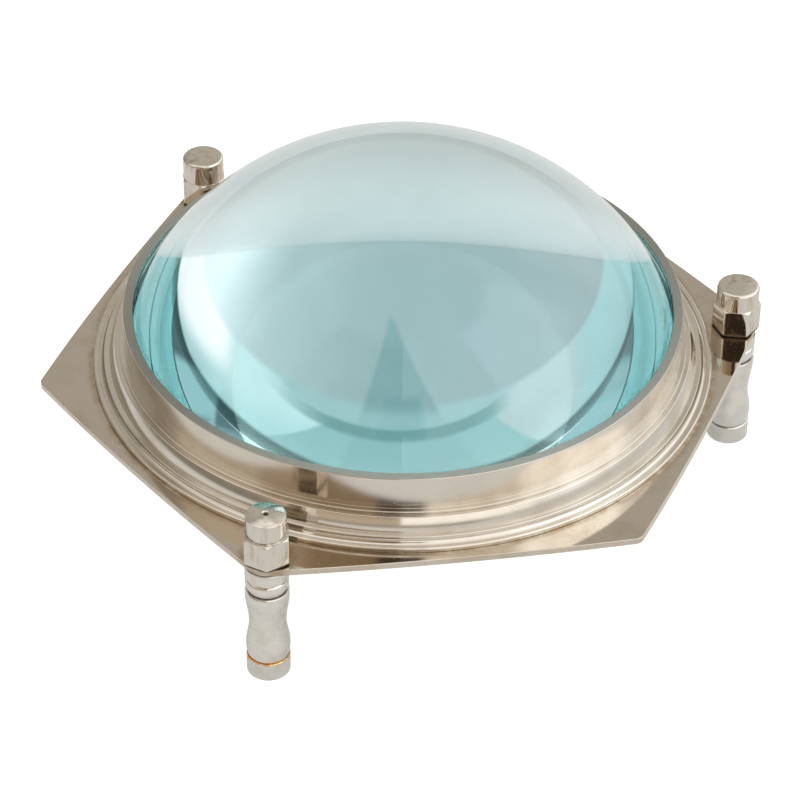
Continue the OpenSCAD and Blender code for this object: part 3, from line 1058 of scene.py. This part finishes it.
# Where one shade passes into the next: the middle of the change and its width
RING_TOP = (32, 14)
RING_RIGHT = (18, 16)
RING_LEFT = (-15, 10)
INSIDE_RING_RIGHT = (22, 8)
RIGHT_RISE = (16, 12)
FAR_RIGHT_TURN = (33, 7)
FAR_RIGHT_RISE = (21, 8)
FAR_LEFT_TURN = (-34, 10)
EDGE_SOFT = 1.5
# Above this elevation the far right begins further right by this much for each degree up
FAR_RIGHT_LEAN = (29, 1.2)
# The gap between two screens, which widens downwards from its tip: tip, how far each side leans
# for each degree down, and how strong it is past the round screen's edge and in front of it
GAP_TIP = (2, 38)
GAP_LEAN = (-0.48, 0.26)
GAP_STRENGTH = (0.25, 0.85)
GAP_SHADE = (0.34, 0.46, 0.46, 1)
# Elevation of the dark low edge, and its bends: each starts at an azimuth and rises from there, to
# the right, or to the left where its slope is negative
LOW_EDGE = 4.6
LOW_BENDS = ((14, 0.26), (48, 0.42), (-22, -0.30))
LOW_SHADE = (0.005, 0.06, 0.06, 1)
# What lights the ground edge of the glass, where it is seen by reflection
EDGE_LIGHT = (4.1, 3.4, 3.2, 1)
# What the camera sees past the floor
BACKDROP = (1.0, 1.0, 1.0, 1)
# Behind the edges of the dome
SIDE_PANELS = (
    ((72, 92), (24, 95), 6, 6, (0.55, 0.55, 0.55)),
    ((92, 108), (24, 95), 4, 6, (0.82, 0.80, 0.79)),
    ((90, 108), (44, 95), 4, 1.5, (0.25, 0.27, 0.27)),
    ((108, 180), (-90, 95), 5, 1, (0.20, 0.20, 0.20)),
    ((-100, -70), (24, 95), 6, 6, (0.82, 0.80, 0.79)),
    ((-108, -100), (24, 95), 4, 6, (0.70, 0.68, 0.66)),
    ((-180, -108), (-90, 95), 5, 1, (0.30, 0.28, 0.27)),
)


class Sky(Shader):
    """Shader helpers for a studio painted by direction, in degrees. Azimuth 0 is straight ahead of
    the camera and grows to the right."""

    def __init__(self, tree):
        super().__init__(tree)
        self.direction = self.node("ShaderNodeTexCoord").outputs["Generated"]
        sine, cosine = math.sin(CAMERA_AZIMUTH), math.cos(CAMERA_AZIMUTH)
        ahead = self.along((-sine, cosine, 0))
        right = self.along((cosine, sine, 0))
        self.azimuth = self.degrees("ARCTAN2", right, ahead)
        self.elevation = self.degrees("ARCSINE", self.along((0, 0, 1)))

    def along(self, vector):
        made = self.node("ShaderNodeVectorMath", operation="DOT_PRODUCT")
        self.link(self.direction, made.inputs[0])
        made.inputs[1].default_value = vector
        return made.outputs["Value"]

    def degrees(self, operation, *values):
        return self.math("MULTIPLY", self.math(operation, *values), 180 / math.pi)

    def away_from(self, place):
        """Angle between the direction and a place given by its azimuth and elevation."""
        middle = from_sky(CAMERA_AZIMUTH + math.pi - math.radians(place[0]), math.radians(place[1]))
        return self.degrees("ARCCOSINE", self.along(middle))

    def above(self, value, edge, soft):
        return self.ramp(value, ((edge - soft / 2, 0.0), (edge + soft / 2, 1.0)))

    def below(self, value, edge, soft):
        return self.ramp(value, ((edge - soft / 2, 1.0), (edge + soft / 2, 0.0)))

    def both(self, a, b):
        return self.math("MULTIPLY", a, b)

    def leaning(self, edge):
        """Azimuth measured from an edge that leans below its level."""
        start, level, lean = edge
        down = self.math("MAXIMUM", self.math("SUBTRACT", level, self.elevation), 0.0)
        return self.math("SUBTRACT", self.math("SUBTRACT", self.azimuth, start), self.both(down, lean))

    def paint(self, colour, panels):
        """Paints panels over colour. A side at 180 or -180 degrees has no edge."""
        for (left, right), (low, high), soft_across, soft_up, light in panels:
            mask = self.above(self.elevation, low, soft_up)
            mask = self.both(mask, self.below(self.elevation, high, soft_up))
            if left > -180:
                mask = self.both(mask, self.above(self.azimuth, left, soft_across))
            if right < 180:
                mask = self.both(mask, self.below(self.azimuth, right, soft_across))
            colour = self.mix(mask, colour, (*light, 1))
        return colour


def under_the_screen(s):
    """What shows below the round screen: the middle, and both sides past their slanting edges."""
    right = s.mix(s.above(s.elevation, *RIGHT_RISE), RIGHT_LOW, RIGHT_SIDE)
    level, lean = FAR_RIGHT_LEAN
    later = s.both(s.math("MAXIMUM", s.math("SUBTRACT", s.elevation, level), 0.0), lean)
    far = s.above(s.math("SUBTRACT", s.azimuth, later), *FAR_RIGHT_TURN)
    right = s.mix(s.both(far, s.above(s.elevation, *FAR_RIGHT_RISE)), right, FAR_RIGHT)
    left = s.mix(s.below(s.azimuth, *FAR_LEFT_TURN), LEFT_SIDE, FAR_LEFT)
    under = s.mix(s.above(s.leaning(RIGHT_EDGE), 0, EDGE_SOFT), UNDER, right)
    return s.mix(s.below(s.leaning(LEFT_EDGE), 0, EDGE_SOFT), under, left)


def gap_mask(s):
    """How strong the gap between two screens is: weaker past the edge of the round screen."""
    gap = s.below(s.elevation, GAP_TIP[1], 3)
    down = s.math("SUBTRACT", GAP_TIP[1], s.elevation)
    for lean, side in zip(GAP_LEAN, (s.above, s.below)):
        gap = s.both(gap, side(s.math("SUBTRACT", s.azimuth, s.both(down, lean)), GAP_TIP[0], 1.0))
    inside = s.below(s.away_from(SCREEN[0]), SCREEN[1] + 1, 4)
    return s.both(gap, s.ramp(inside, ((0.0, GAP_STRENGTH[0]), (1.0, GAP_STRENGTH[1]))))


def ring_mask(s, off):
    """Strength of the hanging ring, which fades out upward and to both sides. off is the angle
    from its middle."""
    rim = s.both(s.above(off, RING_EDGES[0], 1.0), s.below(off, RING_EDGES[1], 1.4))
    rim = s.both(rim, s.both(s.below(s.elevation, *RING_TOP), s.below(s.azimuth, *RING_RIGHT)))
    return s.both(s.both(rim, s.above(s.azimuth, *RING_LEFT)), RING_STRENGTH)


def low_mask(s):
    """1 below the dark low edge and its bends."""
    rise = 0.0
    for start, slope in LOW_BENDS:
        bend = s.both(s.math("SUBTRACT", s.azimuth, start), slope)
        rise = s.math("ADD", rise, s.math("MAXIMUM", bend, 0.0))
    return s.below(s.math("SUBTRACT", s.elevation, rise), LOW_EDGE, 3)


def behind_the_glass(s):
    """What shows through the dome: the screen, what is under it, a ring and a gap."""
    off = s.away_from(RING_MIDDLE)
    inside_ring = s.both(s.below(off, RING_EDGES[0], 1.0), s.below(s.azimuth, *INSIDE_RING_RIGHT))
    under = s.mix(inside_ring, under_the_screen(s), INSIDE_RING)
    past_screen = s.above(s.away_from(SCREEN[0]), SCREEN[1], EDGE_SOFT)
    colour = s.mix(past_screen, s.paint(BEHIND, BEHIND_PANELS), under)
    colour = s.mix(gap_mask(s), colour, GAP_SHADE)
    colour = s.mix(ring_mask(s, off), colour, RING_SHADE)
    colour = s.mix(low_mask(s), colour, LOW_SHADE)
    return s.paint(colour, SIDE_PANELS)


def make_world():
    """A studio of plain soft panels that only reflections and light rays see."""
    world = bpy.data.worlds.new("studio")
    world.use_nodes = True
    bpy.context.scene.world = world
    s = Sky(world.node_tree)
    rays = s.node("ShaderNodeLightPath").outputs
    through = s.math("GREATER_THAN", rays["Transmission Depth"], 0.5)
    colour = s.mix(through, s.paint(ROOM, ROOM_PANELS), behind_the_glass(s))
    # The ground edge of the glass is lit from above through the dome
    edge = s.both(through, s.math("GREATER_THAN", rays["Glossy Depth"], 0.5))
    edge = s.both(edge, s.math("GREATER_THAN", rays["Diffuse Depth"], 0.5))
    colour = s.mix(edge, colour, EDGE_LIGHT)
    background = s.node("ShaderNodeBackground")
    s.link(s.mix(rays["Is Camera Ray"], colour, BACKDROP), background.inputs["Color"])
    output = s.node("ShaderNodeOutputWorld")
    s.link(background.outputs[0], output.inputs["Surface"])


def add_light(name, azimuth, elevation, distance, size, power):
    data = bpy.data.lights.new(name, "AREA")
    data.shape = "DISK"
    data.size = size
    data.energy = power
    light = bpy.data.objects.new(name, data)
    bpy.context.collection.objects.link(light)
    toward = from_sky(math.radians(azimuth), math.radians(elevation))
    light.location = Vector((0, 0, plate_top)) + toward * distance
    light.rotation_euler = toward.to_track_quat("Z", "Y").to_euler()
    light.visible_glossy = False
    light.visible_transmission = False


# ---------------------------------------------------------------- build

add_camera()
make_world()
make_floor()
add_light("overhead", azimuth=0, elevation=84, distance=1.6, size=1.4, power=14)

scene = bpy.context.scene
scene.view_settings.view_transform = "Standard"
# Light caught in the glass turns back inside it many times before it comes out
scene.cycles.max_bounces = 40
scene.cycles.glossy_bounces = 32
scene.cycles.transmission_bounces = 32
scene.cycles.diffuse_bounces = 16

ring_nickel = ring_material()
make_plate(plate_material())
make_moulding(ring_nickel)
make_bezel(ring_nickel)
make_seat(rubber_material())
make_lens(glass_material())
for n in LEGS:
    leg_nickel = leg_material(n)
    make_collar(n, leg_nickel)
    make_bead(n, leg_material(n, polished=True))
    make_leg(n, leg_nickel)
    make_tip(n, leg_nickel)
    make_cap(n, nut_material(n))
    make_stud(n, brass_material(n))
